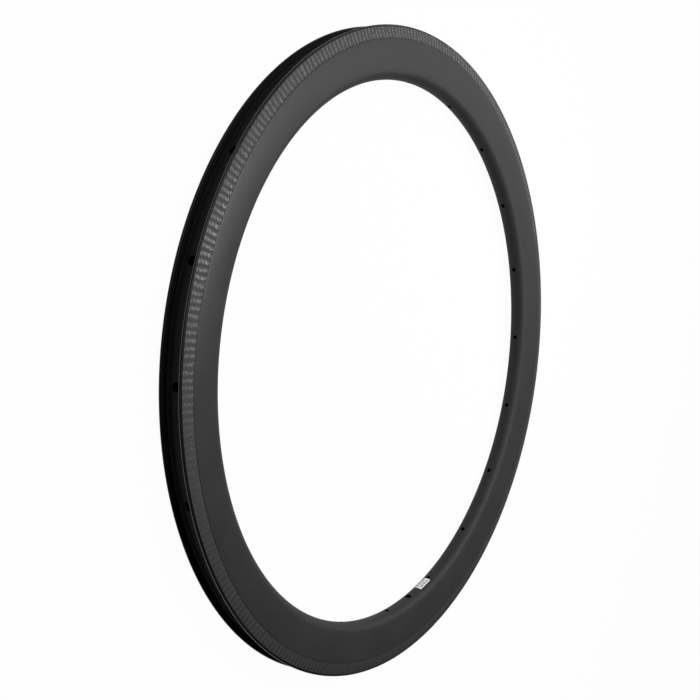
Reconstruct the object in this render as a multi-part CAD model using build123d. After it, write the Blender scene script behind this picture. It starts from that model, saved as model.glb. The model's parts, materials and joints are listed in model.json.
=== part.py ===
from build123d import *
import math
import os

# A deep clincher rim of carbon fibre, lying flat: one hollow moulded ring and a small paper label.
# The origin is the wheel's centre, on the rim's mid-plane. Z is the axle, and the valve hole is on -Y.
# The section is drawn as (distance from the axle, height over the mid-plane), in millimetres and degrees.

# Tyre side: two hooked lips, a bead seat inside each, and a channel between the seats
bead_seat_diameter = 622.0
lip_height = 5.5  # from the bead seat to the lip's crest
lip_width = 23.2  # over the outsides of both lips
lip_thickness = 2.4
hook_undercut = 0.8  # how far the wall steps back under the lip
hook_direction = -135.0  # from the lip's middle to where its round ends under the hook
bead_seat_width = 3.4
channel_drop = 2.0  # from the bead seat down to the channel's floor
hook_radius = 0.5
seat_corner_radius = 0.9
channel_radius = 1.5

# Flanks: a brake track that widens inwards, a fine groove, then a crowned side wall and a round nose
rim_depth = 49.0  # from the lips' crest to the spoke bed
track_height = 12.1  # from the lips' crest to the groove
track_foot_width = 27.4  # over both flanks at the groove
groove_width = 0.6
groove_depth = 0.25
side_crown_radius = 220.0
nose_radius = 9.6

# Walls round the hollow
tyre_bed_wall = 1.4
track_wall = 1.8
track_wall_taper = 4.0  # how far inside the groove the track's thicker wall runs out
side_wall = 0.8
spoke_bed_wall = 1.9  # under a flat land for the spokes' nipples

# Holes
spoke_count = 20
spoke_hole_diameter = 4.5
access_hole_diameter = 8.0
valve_hole_diameter = 6.5
valve_direction = 270.0

# Label on the spoke bed, just before the first spoke hole that follows the valve hole
label_length = 20.0
label_width = 8.1
label_thickness = 0.12
label_glue = 0.03  # film of glue under the label
label_clearance = 0.2  # from the label's end to the edge of that spoke hole

# Radii that the rest is measured from
seat_radius = bead_seat_diameter / 2
crest_radius = seat_radius + lip_height
channel_floor_radius = seat_radius - channel_drop
spoke_bed_radius = crest_radius - rim_depth
roof_radius = channel_floor_radius - tyre_bed_wall
land_radius = spoke_bed_radius + spoke_bed_wall
nose_centre = spoke_bed_radius + nose_radius, 0
spoke_pitch = 360 / spoke_count


def polar(centre, radius, angle):
    """The point of the section at an angle round a centre, from straight outwards towards +Z."""
    turn = math.radians(angle)
    return centre[0] + radius * math.cos(turn), centre[1] + radius * math.sin(turn)


def direction(start, end):
    """The angle of the line from one point of the section to another."""
    return math.degrees(math.atan2(end[1] - start[1], end[0] - start[0]))


def lower(point):
    """The same point on the other flank."""
    return point[0], -point[1]


def arc(centre, radius, start_angle, end_angle):
    """An arc of the section between two angles."""
    angles = start_angle, (start_angle + end_angle) / 2, end_angle
    return ThreePointArc(*[polar(centre, radius, angle) for angle in angles])


def both_flanks(curves):
    """The given curves and their mirror images on the other flank."""
    return curves + [mirror(curve, Plane.XZ) for curve in curves]


def lip_round():
    """Centre and radius of the upper lip's round crest."""
    radius = lip_thickness / 2
    return (crest_radius - radius, lip_width / 2 - radius), radius


def track_foot():
    """Where the upper brake track ends, over the groove's middle."""
    return crest_radius - track_height, track_foot_width / 2


def track_angle():
    """Direction of the upper brake track, from its foot up to where it touches the lip's round."""
    centre, radius = lip_round()
    reach = math.dist(track_foot(), centre)
    return direction(track_foot(), centre) + math.degrees(math.asin(radius / reach))


def side_top():
    """Where the upper side wall starts, at the groove's inner edge."""
    foot = track_foot()
    return foot[0] - groove_width / 2, foot[1]


def side_centre():
    """Centre of the upper side wall's crown, which starts at the groove and runs smoothly into the nose."""
    top = side_top()
    gap = math.dist(top, nose_centre)
    inner_reach = side_crown_radius - nose_radius
    cosine = (side_crown_radius**2 + gap**2 - inner_reach**2) / (2 * side_crown_radius * gap)
    return polar(top, side_crown_radius, direction(top, nose_centre) + math.degrees(math.acos(cosine)))


def tyre_side():
    """The hooks, bead seats and channel, from one lip's round to the other's."""
    centre, radius = lip_round()
    hook_tip = polar(centre, radius, hook_direction)
    wall = lip_width / 2 - lip_thickness + hook_undercut
    hook_root = hook_tip[0] - (wall - hook_tip[1]) * math.tan(math.radians(hook_direction)), wall
    seat_corner = seat_radius, wall
    seat_edge = seat_radius, wall - bead_seat_width
    channel_edge = channel_floor_radius, seat_edge[1] - channel_drop
    upper = [hook_tip, hook_root, seat_corner, seat_edge, channel_edge]
    radii = [hook_radius, seat_corner_radius, channel_radius, channel_radius]
    points = upper + [lower(point) for point in reversed(upper)]
    return FilletPolyline(*points, radius=radii + radii[::-1])


def outside():
    """The ring's outer outline, as a face."""
    lip_centre, lip_radius = lip_round()
    foot = track_foot()
    lip = arc(lip_centre, lip_radius, track_angle() + 90, hook_direction)
    groove_top = polar(foot, groove_width / 2, track_angle())
    groove_floor = foot[0], foot[1] - groove_depth
    track = Polyline(lip @ 0, groove_top, groove_floor, side_top())

    crown = side_centre()
    nose_angle = direction(crown, nose_centre)
    side = arc(crown, side_crown_radius, direction(crown, side_top()), nose_angle)
    nose = arc(nose_centre, nose_radius, nose_angle, 360 - nose_angle)
    return make_face(edges_of([*both_flanks([lip, track, side]), tyre_side(), nose]))


def hollow():
    """The outline of the hollow inside, with its roof under the tyre and its land over the spoke bed."""
    foot = track_foot()
    slope = math.tan(math.radians(track_angle()))
    roof_corner = roof_radius, foot[1] + slope * (roof_radius - foot[0]) - track_wall
    land_corner = land_radius, math.sqrt((nose_radius - side_wall)**2 - (nose_centre[0] - land_radius)**2)

    crown = side_centre()
    crown_radius = side_crown_radius - side_wall
    taper_radius = foot[0] - track_wall_taper
    taper_angle = math.degrees(math.acos((taper_radius - crown[0]) / crown_radius))
    side = arc(crown, crown_radius, taper_angle, direction(crown, nose_centre))
    flank = [Line(roof_corner, side @ 0), side, Line(side @ 1, land_corner)]
    across = [Line(corner, lower(corner)) for corner in (roof_corner, land_corner)]
    return make_face(edges_of([*both_flanks(flank), *across]))


def edges_of(curves):
    """All the edges of some curves."""
    return [edge for curve in curves for edge in curve.edges()]


def drill(diameter, start_radius, end_radius, angle):
    """A straight hole, pointing out from the axle at an angle round it."""
    bit = Cylinder(diameter / 2, end_radius - start_radius, align=(Align.CENTER, Align.CENTER, Align.MIN))
    return Rot(0, 0, angle) * Pos(start_radius, 0, 0) * Rot(0, 90, 0) * bit


def spoke_angles():
    """Directions of the spokes: the valve hole is midway between two of them."""
    return [valve_direction + (number + 0.5) * spoke_pitch for number in range(spoke_count)]


def make_rim():
    """The hollow ring with its drilled holes."""
    ring = revolve(Plane.XZ * (outside() - hollow()), Axis.Z)
    past_bed = spoke_bed_radius - spoke_bed_wall
    past_lips = crest_radius + lip_height
    middle = (spoke_bed_radius + roof_radius) / 2
    bits = [drill(valve_hole_diameter, past_bed, past_lips, valve_direction)]
    for angle in spoke_angles():
        bits.append(drill(spoke_hole_diameter, past_bed, middle, angle))
        bits.append(drill(access_hole_diameter, middle, past_lips, angle))
    return ring - bits


def make_label():
    """The label, bent round the nose and along the spoke bed."""
    under_radius = nose_radius + label_glue
    half_turn = math.degrees(label_width / 2 / under_radius)
    under = arc(nose_centre, under_radius, 180 - half_turn, 180 + half_turn)
    over = arc(nose_centre, under_radius + label_thickness, 180 - half_turn, 180 + half_turn)
    ends = [Line(under @ end, over @ end) for end in (0, 1)]
    sheet = make_face(edges_of([under, over, *ends]))
    end_gap = math.degrees((spoke_hole_diameter / 2 + label_clearance) / spoke_bed_radius)
    length = math.degrees(label_length / spoke_bed_radius)
    start = spoke_angles()[0] - end_gap - length
    return Rot(0, 0, start) * revolve(Plane.XZ * sheet, Axis.Z, length)


os.makedirs("parts", exist_ok=True)
for name, solid in {"rim": make_rim(), "size_label": make_label()}.items():
    export_step(solid, f"parts/{name}.step")
    print(name, "volume", round(solid.volume), "mm3")
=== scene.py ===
# %% [markdown]
# # A deep carbon rim
# This lesson dresses one bicycle rim, for a picture of it on white. The real thing is a hollow ring,
# moulded in one go from sheets of carbon fibre, then drilled and given a thin satin lacquer. A CAD model
# of it is loaded first. It gives the true size and the place of each hole, and it isn't changed here.
# Blender's lengths are in metres, and sections are drawn in millimetres. Z is the wheel's axle, the rim
# lies flat round the origin, and the valve hole is on -Y.

# %% Load the frame
import json
import math

import bmesh
import bpy
from mathutils import Matrix, Vector


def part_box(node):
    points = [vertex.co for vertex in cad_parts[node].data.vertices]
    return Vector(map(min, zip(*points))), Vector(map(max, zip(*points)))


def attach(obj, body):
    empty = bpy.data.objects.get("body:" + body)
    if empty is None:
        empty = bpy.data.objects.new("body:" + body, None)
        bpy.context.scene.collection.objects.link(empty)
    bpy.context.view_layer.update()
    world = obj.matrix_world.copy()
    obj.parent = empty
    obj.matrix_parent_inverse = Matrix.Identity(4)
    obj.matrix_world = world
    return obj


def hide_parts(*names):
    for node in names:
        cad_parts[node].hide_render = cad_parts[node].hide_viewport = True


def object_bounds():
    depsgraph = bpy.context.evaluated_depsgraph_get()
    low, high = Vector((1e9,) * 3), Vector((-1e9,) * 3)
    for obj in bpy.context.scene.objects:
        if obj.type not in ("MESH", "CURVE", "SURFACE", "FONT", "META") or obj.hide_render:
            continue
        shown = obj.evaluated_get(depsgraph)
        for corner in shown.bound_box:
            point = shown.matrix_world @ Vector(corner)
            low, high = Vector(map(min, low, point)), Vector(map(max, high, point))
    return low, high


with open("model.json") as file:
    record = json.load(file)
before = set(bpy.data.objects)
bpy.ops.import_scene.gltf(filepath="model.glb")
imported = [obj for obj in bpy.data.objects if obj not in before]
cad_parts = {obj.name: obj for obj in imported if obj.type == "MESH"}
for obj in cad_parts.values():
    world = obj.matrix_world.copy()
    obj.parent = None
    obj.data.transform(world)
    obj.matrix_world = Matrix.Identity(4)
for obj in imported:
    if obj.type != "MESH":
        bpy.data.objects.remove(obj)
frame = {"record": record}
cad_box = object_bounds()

MM = 0.001
scene = bpy.context.scene
scene.view_settings.view_transform = "Standard"
holes = {mount["name"]: mount for mount in frame["record"]["mounts"] if mount["kind"] == "bore"}
cad_size = [round(side, 4) for side in cad_box[1] - cad_box[0]]
print("The CAD model has", len(holes), "holes and is", cad_size, "m")

# %% [markdown]
# ## The camera
# The rim was photographed upright, seen from its front left. Lying flat it shows the same face to a
# camera that looks down on it and is rolled by about a quarter turn, so that the rim's own top comes up
# in the picture. A camera could be placed with numbers for its position and rotation. Those say little to
# a reader, so here it moves as a photographer would: it starts over the wheel's centre, backs off, leans
# over, walks round, and then turns a little to frame the rim.

# %% Place the camera
def turned(degrees, axis):
    """A rotation by some degrees."""
    return Matrix.Rotation(math.radians(degrees), 4, axis)


walk = turned(-17.16, "Z")
lean = turned(-57.92, "Y")
back_off = Matrix.Translation((0, 0, 1.0032))
roll, pan, tilt = turned(6.699, "Z"), turned(2.706, "Y"), turned(0.272, "X")

lens = bpy.data.cameras.new("Camera")
lens.sensor_width = 36
lens.lens = 51.197
camera = bpy.data.objects.new("Camera", lens)
camera.matrix_world = walk @ lean @ back_off @ (roll @ pan @ tilt)
scene.collection.objects.link(camera)
scene.camera = camera
print("The camera is at", [round(place, 3) for place in camera.matrix_world.translation])

# %% [markdown]
# ## Node trees written as sums
# Every finish below is a small tree of nodes. Wiring such a tree by hand takes many lines, so one class
# wraps a socket and lets it be written like a number: an expression such as 1 - mask adds the Math nodes
# that work it out. All other nodes come from its one method, which first makes the node's settings and
# then fills or links its sockets.

# %% The class for sockets
class Wire:
    """An output socket that can stand in an expression."""

    def __init__(self, socket):
        self.socket = socket

    def node(self, kind, settings=None, sockets=None, output=0):
        """A new node in the same tree, with its settings made first and then its sockets filled or linked."""
        tree = self.socket.id_data
        made = tree.nodes.new(kind)
        for name, setting in (settings or {}).items():
            setattr(made, name, setting)
        for name, value in (sockets or {}).items():
            if isinstance(value, Wire):
                tree.links.new(value.socket, made.inputs[name])
            else:
                made.inputs[name].default_value = value
        return Wire(made.outputs[output]) if made.outputs else None

    def also(self, output):
        """Another output of the same node."""
        return Wire(self.socket.node.outputs[output])

    def math(self, operation, other=0.0):
        """This value and another one through a Math node."""
        return self.node("ShaderNodeMath", {"operation": operation}, {0: self, 1: other})

    def __add__(self, other):
        return self.math("ADD", other)

    def __sub__(self, other):
        return self.math("SUBTRACT", other)

    def __rsub__(self, other):
        return self * -1 + other

    def __mul__(self, other):
        return self.math("MULTIPLY", other)

    __radd__ = __add__
    __rmul__ = __mul__

    def ramp(self, low, high, first=0.0, last=1.0):
        """Goes smoothly from the first result to the last while the value goes from low to high."""
        return self.node("ShaderNodeMapRange", {"interpolation_type": "SMOOTHSTEP"},
                         {0: self, 1: low, 2: high, 3: first, 4: last})

    def blend(self, first, second):
        """A mixture of two colours, with this value as the second one's share."""
        return self.node("ShaderNodeMix", {"data_type": "RGBA"}, {0: self, 6: first, 7: second}, output=2)


def first_wire(tree, kind, output):
    """Empties a node tree and gives its new first node's output."""
    tree.nodes.clear()
    return Wire(tree.nodes.new(kind).outputs[output])


def grey(level, warmth=0.0):
    """A plain grey, or with some warmth a slightly brown one."""
    return level * (1 + warmth), level, level * (1 - warmth), 1.0


print("A wire can be written with +, - and *, and has the methods math, ramp, blend and node")

# %% [markdown]
# ## Floor and backdrop
# The photograph's background is plain white. A white floor under strong lamps would turn white too, but
# it would throw so much light on the rim that black carbon looked grey. So the floor has a pale paper
# colour, and rays that come from the camera, or from a reflection, see mostly plain white instead. The
# share that is left shows the rim's shadow.

# %% Lay the floor
def background_rays(camera_ray):
    """1 for rays from the camera, off a shiny surface or through glass, and 0 for light on things."""
    return camera_ray.math("MAXIMUM", camera_ray.also("Is Glossy Ray")).math(
        "MAXIMUM", camera_ray.also("Is Transmission Ray"))


floor_size = 16.0
paper_level, white_share = 0.8, 0.97

floor_look = bpy.data.materials.new("Studio floor")
floor_look.use_nodes = True
seen = background_rays(first_wire(floor_look.node_tree, "ShaderNodeLightPath", "Is Camera Ray"))
paper = seen.node("ShaderNodeBsdfDiffuse", {}, {"Color": grey(paper_level)})
white = seen.node("ShaderNodeEmission", {}, {"Color": grey(1.0), "Strength": 1.0})
ground = seen.node("ShaderNodeMixShader", {}, {0: seen * white_share, 1: paper, 2: white})
ground.node("ShaderNodeOutputMaterial", {}, {"Surface": ground})


def new_piece(name, bm, *looks):
    """Makes an object of a bmesh, with its materials."""
    mesh = bpy.data.meshes.new(name)
    bm.to_mesh(mesh)
    bm.free()
    for look in looks:
        mesh.materials.append(look)
    piece = bpy.data.objects.new(name, mesh)
    scene.collection.objects.link(piece)
    return piece


bm = bmesh.new()
bmesh.ops.create_grid(bm, x_segments=1, y_segments=1, size=floor_size / 2)
bmesh.ops.translate(bm, verts=bm.verts[:], vec=(0, 0, cad_box[0].z))
floor = new_piece("Floor", bm, floor_look)
print("The floor is", floor_size, "m wide, at", round(cad_box[0].z, 4), "m")

# %% [markdown]
# ## Light
# In the photograph the rim's side is lightest at the top and fades by half towards the bottom, and the
# inside that faces the camera is nearly black. One even dome of light would show none of that. So there
# are three area lamps: a large soft one over the lit side, a broad weak one behind, and a small near one
# for the sheen on the weave at the upper left. The room round them is dim, and darkest on the camera's
# side. A lamp's brightness is written as how white a sheet of paper at the wheel's centre would look,
# because watts depend on the distance and say little.

# %% Hang the lamps
def softbox(name, place, size, brightness):
    """A square lamp that points at the wheel's centre. Its place is (behind, above, on the lit side)."""
    lamp = bpy.data.lights.new(name, "AREA")
    lamp.shape = "SQUARE"
    lamp.size = size
    spot = walk @ Vector(place)
    lamp.energy = brightness * math.pi**2 * spot.length_squared
    holder = bpy.data.objects.new(name, lamp)
    holder.matrix_world = Matrix.Translation(spot) @ spot.to_track_quat("Z", "Y").to_matrix().to_4x4()
    scene.collection.objects.link(holder)
    print(name, "gives", round(lamp.energy, 1), "W from", [round(part, 2) for part in spot])


softbox("Key softbox", place=(-0.26, 0.48, 1.4), size=1.2, brightness=0.72)
softbox("Back softbox", place=(2.16, 1.28, 1.61), size=2.1, brightness=0.18)
softbox("Near softbox", place=(0.41, 0.17, 0.66), size=0.25, brightness=0.48)

# %% Light the room
lightward = walk @ Vector((0.52, 0.4, 0.75)).normalized()
dim, light = 0.01, 0.3
dim_cosine, light_cosine = 0.4, 0.95  # of the angle from the lightest direction
backdrop_full, backdrop_end = 0.02, 0.08  # how far above the horizon

world = bpy.data.worlds.new("Studio")
world.use_nodes = True
scene.world = world
seen = background_rays(first_wire(world.node_tree, "ShaderNodeLightPath", "Is Camera Ray"))
towards = seen.node("ShaderNodeTexCoord", output="Generated")
cosine = towards.node("ShaderNodeVectorMath", {"operation": "DOT_PRODUCT"},
                      {0: towards, 1: lightward}, "Value")
room = cosine.ramp(dim_cosine, light_cosine, dim, light)
above = towards.node("ShaderNodeSeparateXYZ", {}, {0: towards}, "Z")
backdrop = seen * above.ramp(backdrop_full, backdrop_end, 1.0, 0.0)
brightness = room.math("MAXIMUM", backdrop)
studio = room.node("ShaderNodeBackground", {}, {"Color": grey(1.0), "Strength": brightness})
studio.node("ShaderNodeOutputWorld", {}, {"Surface": studio})
print("The room is lightest towards", [round(part, 2) for part in lightward])

# %% [markdown]
# ## A pen for sections
# A rim is the same all the way round, so it is drawn once as a section and then spun. The section is a
# chain of edges in the XZ plane, X being the distance from the axle. A curve object could be drawn too,
# but it has no true arcs. Here a pen extrudes its last vertex for a straight line and spins it for an
# arc, and corners are rounded by a bevel.

# %% The pen
class Pen:
    """Draws a chain of edges, with its points given as (distance from the axis, height) in millimetres."""

    def __init__(self, *start):
        self.bm = bmesh.new()
        self.tip = self.bm.verts.new((start[0] * MM, 0, start[1] * MM))

    def line(self, *end):
        """A straight line. Gives the vertex that it ends at."""
        self.tip = bmesh.ops.extrude_vert_indiv(self.bm, verts=[self.tip])["verts"][0]
        self.tip.co = end[0] * MM, 0, end[1] * MM
        return self.tip

    def arc(self, centre, degrees, segments):
        """An arc round a centre, counted from outwards towards upwards."""
        made = bmesh.ops.spin(self.bm, geom=[self.tip], cent=(centre[0] * MM, 0, centre[1] * MM),
                              axis=(0, -1, 0), angle=math.radians(degrees), steps=segments)
        self.tip = made["geom_last"][0]

    def round(self, corner, radius, segments=5):
        """Rounds the corner at a vertex of the chain."""
        arms = [edge.other_vert(corner).co - corner.co for edge in corner.link_edges]
        reach = radius * MM / math.tan(arms[0].angle(arms[1]) / 2)
        bmesh.ops.bevel(self.bm, geom=[corner], offset=reach, offset_type="OFFSET", affect="VERTICES",
                        segments=segments, profile=0.5, material=-1)


weld, mirror_weld = 0.001 * MM, 0.02 * MM


def spun(bm, steps):
    """Spins a chain of edges about Z to a closed skin, and gives its bmesh."""
    bmesh.ops.spin(bm, geom=bm.verts[:] + bm.edges[:], cent=(0, 0, 0), axis=(0, 0, 1), angle=2 * math.pi,
                   steps=steps, use_merge=True)
    bmesh.ops.remove_doubles(bm, verts=bm.verts[:], dist=weld)
    bmesh.ops.recalc_face_normals(bm, faces=bm.faces[:])
    return bm


def both_flanks(bm):
    """Adds the mirror image of half a section below the mid-plane."""
    bmesh.ops.mirror(bm, geom=bm.verts[:] + bm.edges[:], axis="Z", merge_dist=mirror_weld)
    return bm


def polar(centre, radius, degrees):
    """The point of a section at an angle round a centre, counted as an arc's."""
    angle = math.radians(degrees)
    return centre[0] + radius * math.cos(angle), centre[1] + radius * math.sin(angle)


def direction(start, end):
    """The angle of the line from one point of a section to another."""
    return math.degrees(math.atan2(end[1] - start[1], end[0] - start[0]))


print("The pen draws lines and arcs, and rounds corners")

# %% [markdown]
# ## The rim's outer skin
# From the middle of the tyre bed, the section goes out over the bead seat, round the hooked lip that
# holds the tyre, and down the brake track. There a fine groove marks where the woven tape ends, and a
# long side wall, slightly crowned, runs smoothly into the round nose that carries the spokes. A loft of
# several sections would work too, but the rim is a true ring, and one spin keeps each arc exact. A few
# sizes drive the section. The track's slope and the crown's centre follow from them, because the track
# touches the lip's round and the crown touches the nose.

# %% Work out the section
channel_floor, bead_seat, spoke_bed = 309.0, 311.0, 267.5
hook_wall, seat_width = 10.0, 3.4
lip_middle, lip_radius, hook_angle = (315.3, 10.4), 1.2, -135.0
weave_edge = 314.45
groove_middle, groove_half, groove_depth = (304.4, 13.7), 0.3, 0.25
crown_radius, nose_radius = 220.0, 9.6

lip_reach = math.dist(groove_middle, lip_middle)
track_angle = direction(groove_middle, lip_middle) + math.degrees(math.asin(lip_radius / lip_reach))
nose_centre = spoke_bed + nose_radius, 0.0
side_top = groove_middle[0] - groove_half, groove_middle[1]
nose_reach, tangent_reach = math.dist(side_top, nose_centre), crown_radius - nose_radius
crown_cosine = (crown_radius**2 + nose_reach**2 - tangent_reach**2) / (2 * crown_radius * nose_reach)
crown_angle = direction(side_top, nose_centre) + math.degrees(math.acos(crown_cosine))
crown_centre = polar(side_top, crown_radius, crown_angle)
nose_angle = direction(crown_centre, nose_centre)


def track_height(radius):
    """How far the brake track is from the mid-plane, at a distance from the axle."""
    return groove_middle[1] + (radius - groove_middle[0]) * math.tan(math.radians(track_angle))


print("The track leans by", round(-track_angle, 2), "degrees, and the crown's centre is at",
      [round(part, 2) for part in crown_centre])

# %% Draw and spin the outer skin
ring_steps = 360
hook_radius, seat_radius, channel_radius, groove_radius = 0.5, 0.9, 1.5, 0.12

hook_tip = polar(lip_middle, lip_radius, hook_angle)
hook_slope = math.tan(math.radians(hook_angle))
seat_end = hook_wall - seat_width

pen = Pen(channel_floor, 0)
channel_edge = pen.line(channel_floor, seat_end - (bead_seat - channel_floor))
seat_edge = pen.line(bead_seat, seat_end)
seat_corner = pen.line(bead_seat, hook_wall)
hook_root = pen.line(hook_tip[0] - (hook_wall - hook_tip[1]) * hook_slope, hook_wall)
pen.line(*hook_tip)
pen.arc(lip_middle, track_angle + 90 - hook_angle, segments=18)
pen.line(weave_edge, track_height(weave_edge))
groove_top = pen.line(groove_middle[0] + groove_half, track_height(groove_middle[0] + groove_half))
pen.line(groove_middle[0], groove_middle[1] - groove_depth)
groove_foot = pen.line(*side_top)
pen.arc(crown_centre, nose_angle - direction(crown_centre, side_top), segments=14)
pen.arc(nose_centre, 180 - nose_angle, segments=16)
pen.round(hook_root, hook_radius)
pen.round(seat_corner, seat_radius)
for corner in (seat_edge, channel_edge):
    pen.round(corner, channel_radius)
for corner in (groove_top, groove_foot):
    pen.round(corner, groove_radius, segments=2)
print("The nose ends at", [round(part / MM, 3) for part in pen.tip.co])
skin = spun(both_flanks(pen.bm), ring_steps)
print("The outer skin has", len(skin.faces), "faces")

# %% [markdown]
# ## Zones for the finishes
# One moulding shows six finishes: the lacquered side, the woven brake track, the dull lip above the
# weave, the upper lip's crest, where the same resin is made lighter and glossier as a painted highlight,
# the black tyre bed, and raw fibre where it was drilled.
# Separate objects would leave seams. One mesh with a number on each face keeps it one piece, and the
# section already has an edge wherever two finishes meet.

# %% Number the outer faces
finish_names = "Satin lacquer", "Woven track", "Dull lip", "Rubbed crest", "Black tyre bed", "Raw fibre"
SIDE, TRACK, LIP, PAINTED_CREST, TYRE_BED, RAW = range(len(finish_names))
crest_end = 10  # degrees round the lip, from straight outwards
lowest_bed = channel_floor - 0.5  # a flat face's middle is a little nearer to the axle than its ends


def zone(face):
    """Which finish a face of the outer skin has."""
    middle = face.calc_center_median() / MM
    radius, height = middle.xy.length, abs(middle.z)
    if radius > lip_middle[0] or radius > weave_edge and height > lip_middle[1]:
        on_crest = direction(lip_middle, (radius, height)) < crest_end
        # Only the upper lip's crest gets the lighter, glossier resin: a painted highlight on the lit side.
        return PAINTED_CREST if on_crest and middle.z > 0 else LIP
    if radius > lowest_bed and height < lip_middle[1]:
        return TYRE_BED
    return TRACK if radius > groove_middle[0] + groove_half else SIDE


def zone_counts(faces):
    """How many faces have each finish."""
    return [sum(face.material_index == number for face in faces) for number in range(len(finish_names))]


for face in skin.faces:
    face.material_index = zone(face)
print("Faces of each zone:", zone_counts(skin.faces))

# %% [markdown]
# ## The hollow
# A deep rim is light because it is hollow: thin walls of carbon round an empty space. It can only be seen
# through the drilled holes, but without it a hole would look like a dent. Solidify could make the walls,
# but all of one thickness. So the hollow is one more spun section, turned inside out: its faces point
# into the hollow, and the two skins together enclose only the walls.

# %% Draw and spin the hollow
tyre_bed_wall, track_wall, side_wall, spoke_bed_wall = 1.4, 1.8, 0.8, 1.9
track_wall_taper = 4.0  # how far inside the groove the track's thicker wall runs out

roof, land = channel_floor - tyre_bed_wall, spoke_bed + spoke_bed_wall
inner_crown, inner_nose = crown_radius - side_wall, nose_radius - side_wall
taper_end = groove_middle[0] - track_wall_taper
taper_angle = math.degrees(math.acos((taper_end - crown_centre[0]) / inner_crown))

pen = Pen(roof, 0)
pen.line(roof, track_height(roof) - track_wall)
pen.line(*polar(crown_centre, inner_crown, taper_angle))
pen.arc(crown_centre, nose_angle - taper_angle, segments=2)
pen.line(land, math.sqrt(inner_nose**2 - (nose_centre[0] - land)**2))
pen.line(land, 0)
hollow = spun(both_flanks(pen.bm), ring_steps // 3)
bmesh.ops.reverse_faces(hollow, faces=hollow.faces[:])
for face in hollow.faces:
    face.material_index = RAW


def add_copy(bm, other, matrix=None):
    """Adds a copy of another bmesh, moved by a matrix."""
    passing = bpy.data.meshes.new("Passing")
    other.to_mesh(passing)
    if matrix:
        passing.transform(matrix)
    bm.from_mesh(passing)
    bpy.data.meshes.remove(passing)


add_copy(skin, hollow)
hollow.free()
print("Skin and hollow together have", len(skin.faces), "faces")

# %% [markdown]
# ## Drilled holes
# Each spoke is pulled up by a nipple, a long nut that sits on the land inside the hollow. It is put in
# through a wider hole in the tyre bed, on the same line. The valve has one hole right through. Drillers
# break the sharp edges with a countersink, so a bit here is a turned shape with a cone at either end, and
# one cut leaves hole and chamfer. A ring of faces could be cut and bridged by hand, but a Boolean of all
# the bits follows the curved skin by itself.

# %% Turn the bits
spoke_radius, valve_radius = (holes[name]["dims"]["r_mm"] for name in ("spoke_hole_01", "valve_hole"))
access_radius = 4.0
middle_of_hollow, step = 288.0, 0.5
chamfer = 0.2
past_bed, past_seat = spoke_bed - 1.0, bead_seat + 0.5  # where a bit ends, clear of both beds


def drill_bit(inner_radius, outer_radius):
    """A bit along Z that goes through the spoke bed and the tyre bed, with a cone at each end."""
    bed, seat = spoke_bed + chamfer, channel_floor - chamfer
    bit = Pen(0, past_bed)
    bit.line(inner_radius + bed - past_bed, past_bed)
    bit.line(inner_radius, bed)
    bit.line(inner_radius, middle_of_hollow)
    bit.line(outer_radius, middle_of_hollow + step)
    bit.line(outer_radius, seat)
    bit.line(outer_radius + past_seat - seat, past_seat)
    bit.line(0, past_seat)
    return spun(bit.bm, steps=40)


spoke_bit = drill_bit(spoke_radius, access_radius)
valve_bit = drill_bit(valve_radius, valve_radius)
bits = bmesh.new()
for name, hole in holes.items():
    along = Vector(hole["axis"]).to_track_quat("Z", "Y").to_matrix().to_4x4()
    add_copy(bits, valve_bit if name == "valve_hole" else spoke_bit, along)
spoke_bit.free()
valve_bit.free()
for face in bits.faces:
    face.material_index = RAW
print("The bits together have", len(bits.faces), "faces")

# %% Drill the holes
def shade(mesh):
    """Shades a mesh smooth, apart from edges of more than 30 degrees."""
    mesh.shade_smooth()
    mesh.set_sharp_from_angle(angle=math.radians(30))


finishes = [bpy.data.materials.new(name) for name in finish_names]
rim = new_piece("rim_moulding", skin, *finishes)
bit_set = new_piece("Bits", bits, *finishes)
cut = rim.modifiers.new("Drill", "BOOLEAN")
cut.operation = "DIFFERENCE"
cut.solver = "EXACT"
cut.material_mode = "INDEX"
cut.object = bit_set
drilled = bpy.data.meshes.new_from_object(rim.evaluated_get(bpy.context.evaluated_depsgraph_get()))
rim.modifiers.clear()
rim.data = drilled
bpy.data.objects.remove(bit_set)
shade(drilled)
drilled.calc_loop_triangles()
print("The drilled rim has", len(drilled.polygons), "faces and", len(drilled.loop_triangles), "triangles")
print("Faces of each zone:", zone_counts(drilled.polygons))
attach(rim, "root")
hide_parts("rim")

# %% [markdown]
# ## The paper label
# A small white label is stuck on the spoke bed beside the valve hole, up to the next spoke hole. Paper
# follows the bed both round the nose and along the ring, so it is an arc of the nose, spun a few degrees
# about the axle, with rounded corners. A flat sheet with a Shrinkwrap would follow it too, but it would
# stretch. The operator solidify then gives the paper its thickness.

# %% Bend the label
label_length, label_width, label_corner = 20.0, 8.1, 0.8
label_gap, label_glue, label_paper = 0.2, 0.03, 0.12

hole_angle = direction((0, 0), holes["spoke_hole_01"]["axis"])
label_turn = math.degrees(label_length / spoke_bed)
label_start = hole_angle - math.degrees((spoke_radius + label_gap) / spoke_bed) - label_turn
label_under = nose_radius + label_glue
half_turn = math.degrees(label_width / 2 / label_under)

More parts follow.
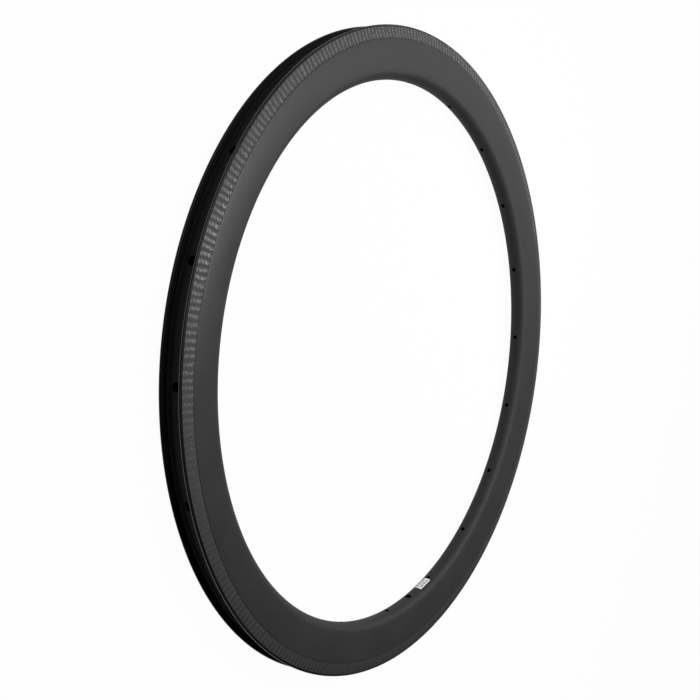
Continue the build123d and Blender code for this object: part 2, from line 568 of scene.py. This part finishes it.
pen = Pen(*polar(nose_centre, label_under, 180 - half_turn))
pen.arc(nose_centre, 2 * half_turn, segments=8)
sheet = pen.bm
bmesh.ops.rotate(sheet, verts=sheet.verts[:], cent=(0, 0, 0), matrix=turned(label_start, "Z").to_3x3())
bmesh.ops.spin(sheet, geom=sheet.verts[:] + sheet.edges[:], cent=(0, 0, 0), axis=(0, 0, 1),
               angle=math.radians(label_turn), steps=12)
corners = [vert for vert in sheet.verts if len(vert.link_edges) == 2]
bmesh.ops.bevel(sheet, geom=corners, offset=label_corner * MM, offset_type="OFFSET", affect="VERTICES",
                segments=4, profile=0.5, material=-1)
bmesh.ops.recalc_face_normals(sheet, faces=sheet.faces[:])
bmesh.ops.solidify(sheet, geom=sheet.faces[:], thickness=label_paper * MM)
bmesh.ops.recalc_face_normals(sheet, faces=sheet.faces[:])
label_finish = bpy.data.materials.new("Printed paper")
label = new_piece("bed_label", sheet, label_finish)
shade(label.data)
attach(label, "root")
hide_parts("size_label")
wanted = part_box("size_label")
reach = [vert.co.xy.length / MM for vert in label.data.vertices]
print("The label is", round(min(reach), 2), "to", round(max(reach), 2), "mm from the axle; CAD box",
      [[round(part / MM, 2) for part in corner] for corner in wanted])

# %% [markdown]
# ## Where a finish knows it is
# Patterns on a rim run round it, so a finish needs the angle round the axle and the distance from it. A
# UV map could hold them, but it would have a seam. Object coordinates give both with a little maths, in
# millimetres, and a noise that reads the direction as a point on a circle meets itself without a seam.

# %% Coordinates for the finishes
mean_radius = 290
usual = 0.3, 0.7  # most of a noise lies between these


def start_finish(look):
    """Empties a material's tree. Gives the place in millimetres, and its angle, radius and height."""
    look.use_nodes = True
    point = first_wire(look.node_tree, "ShaderNodeTexCoord", "Object")
    place = point.node("ShaderNodeVectorMath", {"operation": "SCALE"}, {0: point, "Scale": 1 / MM})
    x = place.node("ShaderNodeSeparateXYZ", {}, {0: place})
    y = x.also("Y")
    return place, y.math("ARCTAN2", x), (x * x + y * y).math("SQRT"), x.also("Z")


def noise(place, scale, detail=2.0):
    """A cloudy noise from 0 to 1, with features about 1 / scale millimetres wide."""
    return place.node("ShaderNodeTexNoise", {"noise_dimensions": "3D"},
                      {"Vector": place, "Scale": scale, "Detail": detail, "Roughness": 0.5})


def streaks(angle, radius, height, along, across):
    """A noise drawn out round the rim, with streaks that many millimetres long and wide."""
    turn = mean_radius / along
    circle = angle.node("ShaderNodeCombineXYZ", {}, {
        0: angle.math("COSINE") * turn, 1: angle.math("SINE") * turn, 2: height * (1 / across)})
    return angle.node("ShaderNodeTexNoise", {"noise_dimensions": "4D"}, {
        "Vector": circle, "W": radius * (1 / across), "Scale": 1.0, "Detail": 2.0, "Roughness": 0.6})


def close_finish(colour, bump, **sockets):
    """Ends a tree with its shader, and with a bump of (height, depth in millimetres)."""
    names = {name.replace("_", " "): value for name, value in sockets.items()}
    names["Normal"] = bump[0].node("ShaderNodeBump", {}, {
        "Strength": 1.0, "Distance": bump[1] * MM, "Height": bump[0]})
    shader = colour.node("ShaderNodeBsdfPrincipled", {}, {"Base Color": colour, **names})
    shader.node("ShaderNodeOutputMaterial", {}, {"Surface": shader})


print("A finish starts with its coordinates and closes with a shader")

# %% [markdown]
# ## Satin lacquer on the side
# Under the lacquer lie straight fibres that run round the rim. From a step away they make one dark grey,
# slightly warm, with faint streaks, and the lacquer has a soft gloss with a touch of orange peel. A plain
# dark plastic would come near, but its highlights would be too even, so the streaks also move the
# roughness a little. Towards the nose the lacquer is thinner and duller, so there the roughness grows.

# %% Finish the side
dark_fibre, light_fibre = grey(0.022, warmth=0.015), grey(0.028, warmth=0.015)
fibre_share = 0.6
smooth_gloss, rough_gloss = 0.35, 0.41
dull_nose, dull_wall = 268.0, 280.0  # distances from the axle between which the extra roughness fades
extra_roughness = 0.25

place, angle, radius, height = start_finish(finishes[SIDE])
fibre = streaks(angle, radius, height, along=9.0, across=0.35)
tone = fibre * fibre_share + noise(place, scale=0.03) * (1 - fibre_share)
peel = noise(place, scale=0.8, detail=1.0)
dulling = radius.ramp(dull_nose, dull_wall, extra_roughness, 0.0)
close_finish(tone.ramp(*usual).blend(dark_fibre, light_fibre), bump=(peel, 0.006),
             Roughness=tone.ramp(*usual, smooth_gloss, rough_gloss) + dulling, Specular_IOR_Level=0.17)
print("The side has", len(finishes[SIDE].node_tree.nodes), "nodes")

# %% [markdown]
# ## Woven tape on the brake track
# The track has a layer of woven tape under lacquer. Fat bundles of fibre run round the rim and dive under
# a crossing bundle every five or six millimetres. Between two dives a bundle floats on top and leans a
# little, as a roof tile does, so light catches rows of short slanted dashes that line up as bars across
# the track. The tape was pulled as it was laid, so the bars stand closer on two sides of the ring than
# between them. Real threads would need a hundred thousand small meshes, and lacquer hides their relief
# anyway. So the weave is drawn from the coordinates: one saw-tooth counts the bars, another counts rows
# that step in by one with every bar.

# %% Draw the weave
bar_count, row_width = 340, 3.3
stretch, stretch_angle = 1.3, math.radians(82.8)
bar_sway, row_sway = 0.5, 0.6
half = 0.5
bar_edge, row_edge = (0.10, 0.42), (0.05, 0.28)  # where a float comes up, counted from the gap beside it
row_gap = 0.5

place, angle, radius, height = start_finish(finishes[TRACK])
sway = noise(place, scale=0.09, detail=1.0) - half
pull = ((angle - stretch_angle) * 2).math("SINE") * stretch
bars = angle * (bar_count / (2 * math.pi)) + pull + sway * bar_sway
rows = (radius - groove_middle[0]) * (1 / row_width) + bars + sway * row_sway
across_bar = bars.math("PINGPONG", half)
across_row = rows.math("PINGPONG", half)
float_mask = across_bar.ramp(*bar_edge) * across_row.ramp(*row_edge, row_gap, 1.0)
bar_pitch = 2 * math.pi * channel_floor / bar_count
print("The track has", bar_count, "bars, on average", round(bar_pitch, 2), "mm apart")

# %% Finish the brake track
dark_bundle, light_bundle = grey(0.045, warmth=0.015), grey(0.076, warmth=0.02)
gap_roughness, bundle_roughness = 0.6, 0.40
fibre_metal, lacquer = 0.85, 0.8
crown_share = 0.1  # of a float's own roundness beside its lean
shine_span, least_shine, most_shine = (0.35, 0.68), 0.4, 1.1
darkest_fibre = 0.75

shine = noise(place, scale=0.55).ramp(*shine_span, least_shine, most_shine)
bundle = float_mask * shine
fibre = streaks(angle, radius, height, along=5.0, across=0.25)
close_finish((bundle * fibre.ramp(*usual, darkest_fibre, 1.0)).blend(dark_bundle, light_bundle),
             bump=(float_mask * crown_share + rows.math("FRACT"), 0.28),
             Roughness=bundle.ramp(0.0, 1.0, gap_roughness, bundle_roughness),
             Metallic=float_mask.ramp(0.0, half, 0.0, fibre_metal), Specular_IOR_Level=0.17,
             Coat_Weight=bundle * lacquer, Coat_Roughness=0.15)
print("The track has", len(finishes[TRACK].node_tree.nodes), "nodes")

# %% [markdown]
# ## Lips, tyre bed and cut fibre
# Above the weave the lip is bare resin, black and dull. The upper lip's crest is the same resin made
# lighter and glossier, a painted highlight along the lit side, while the lower crest keeps the dull lip.
# The tyre bed is left rough so that a rim tape grips, and looks plain black. Where a drill went through,
# raw fibre shows. Each could have a tree of its own, but these four are one kind of finish with other
# numbers, so one function makes them.

# %% Finish the dark zones
level_spread, roughness_spread = 0.2, 0.04


def dark_finish(zone_number, level, roughness, gloss, grain, depth):
    """A black surface: its grey level, roughness and specular level, and the width and depth of its grain."""
    place = start_finish(finishes[zone_number])[0]
    speck = noise(place, 1 / grain, detail=3.0)
    dark, light = grey(level * (1 - level_spread)), grey(level * (1 + level_spread))
    smooth, rough = roughness - roughness_spread, roughness + roughness_spread
    close_finish(speck.ramp(*usual).blend(dark, light), bump=(speck, depth),
                 Roughness=speck.ramp(*usual, smooth, rough), Specular_IOR_Level=gloss)


dark_finish(LIP, level=0.006, roughness=0.28, gloss=0.15, grain=1.5, depth=0.002)
# Painted highlight: the crest's resin is twice as light and glossier than the same resin on the lip.
dark_finish(PAINTED_CREST, level=0.012, roughness=0.30, gloss=0.6, grain=1.5, depth=0.002)
dark_finish(TYRE_BED, level=0.017, roughness=0.60, gloss=0.06, grain=0.8, depth=0.02)
dark_finish(RAW, level=0.004, roughness=0.80, gloss=0.03, grain=0.5, depth=0.03)
print("Finished:", ", ".join(finish_names[LIP:]))

# %% [markdown]
# ## Printed paper
# Two rows of small printed dashes stand on the label, the upper row darker. They could be cut from a thin
# mesh, but ink has no thickness, so they are drawn in the colour: one mask for the rows, one for the
# dashes along them and one for the margin. The paper is matt and very slightly uneven.

# %% Finish the label
row_middle, row_offset, row_half = 0.25, 1.6, (0.6, 0.8)
dash_pitch, dash_shift, dash_end = 5.0, 0.3, (0.76, 0.82)
print_half = 7.6, 7.8
faint_ink, full_ink = 0.5, 0.95
bare_paper, black_ink = grey(0.8), grey(0.05)
smooth_paper, rough_paper = 0.55, 0.65

place, angle, _, height = start_finish(label_finish)
along = (angle - math.radians(label_start + label_turn / 2)) * spoke_bed
from_row = ((height - row_middle).math("ABSOLUTE") - row_offset).math("ABSOLUTE")
dashes = (along * (1 / dash_pitch) + height.math("SIGN") * dash_shift).math("FRACT")
in_print = along.math("ABSOLUTE").ramp(*print_half, 1.0, 0.0)
strength = height.ramp(0.0, 0.5, faint_ink, full_ink)
ink = from_row.ramp(*row_half, 1.0, 0.0) * dashes.ramp(*dash_end, 1.0, 0.0) * in_print * strength
tooth = noise(place, scale=6.0)
close_finish(ink.blend(bare_paper, black_ink), bump=(tooth, 0.004),
             Roughness=tooth.ramp(*usual, smooth_paper, rough_paper), Specular_IOR_Level=0.3)
print("The label has", len(label_finish.node_tree.nodes), "nodes")

# %% [markdown]
# ## Size
# The dressed rim has to stay as large as the CAD model. The CAD model's box is printed.

# %% Measure and finish
print("CAD box", [[round(part, 4) for part in corner] for corner in cad_box])
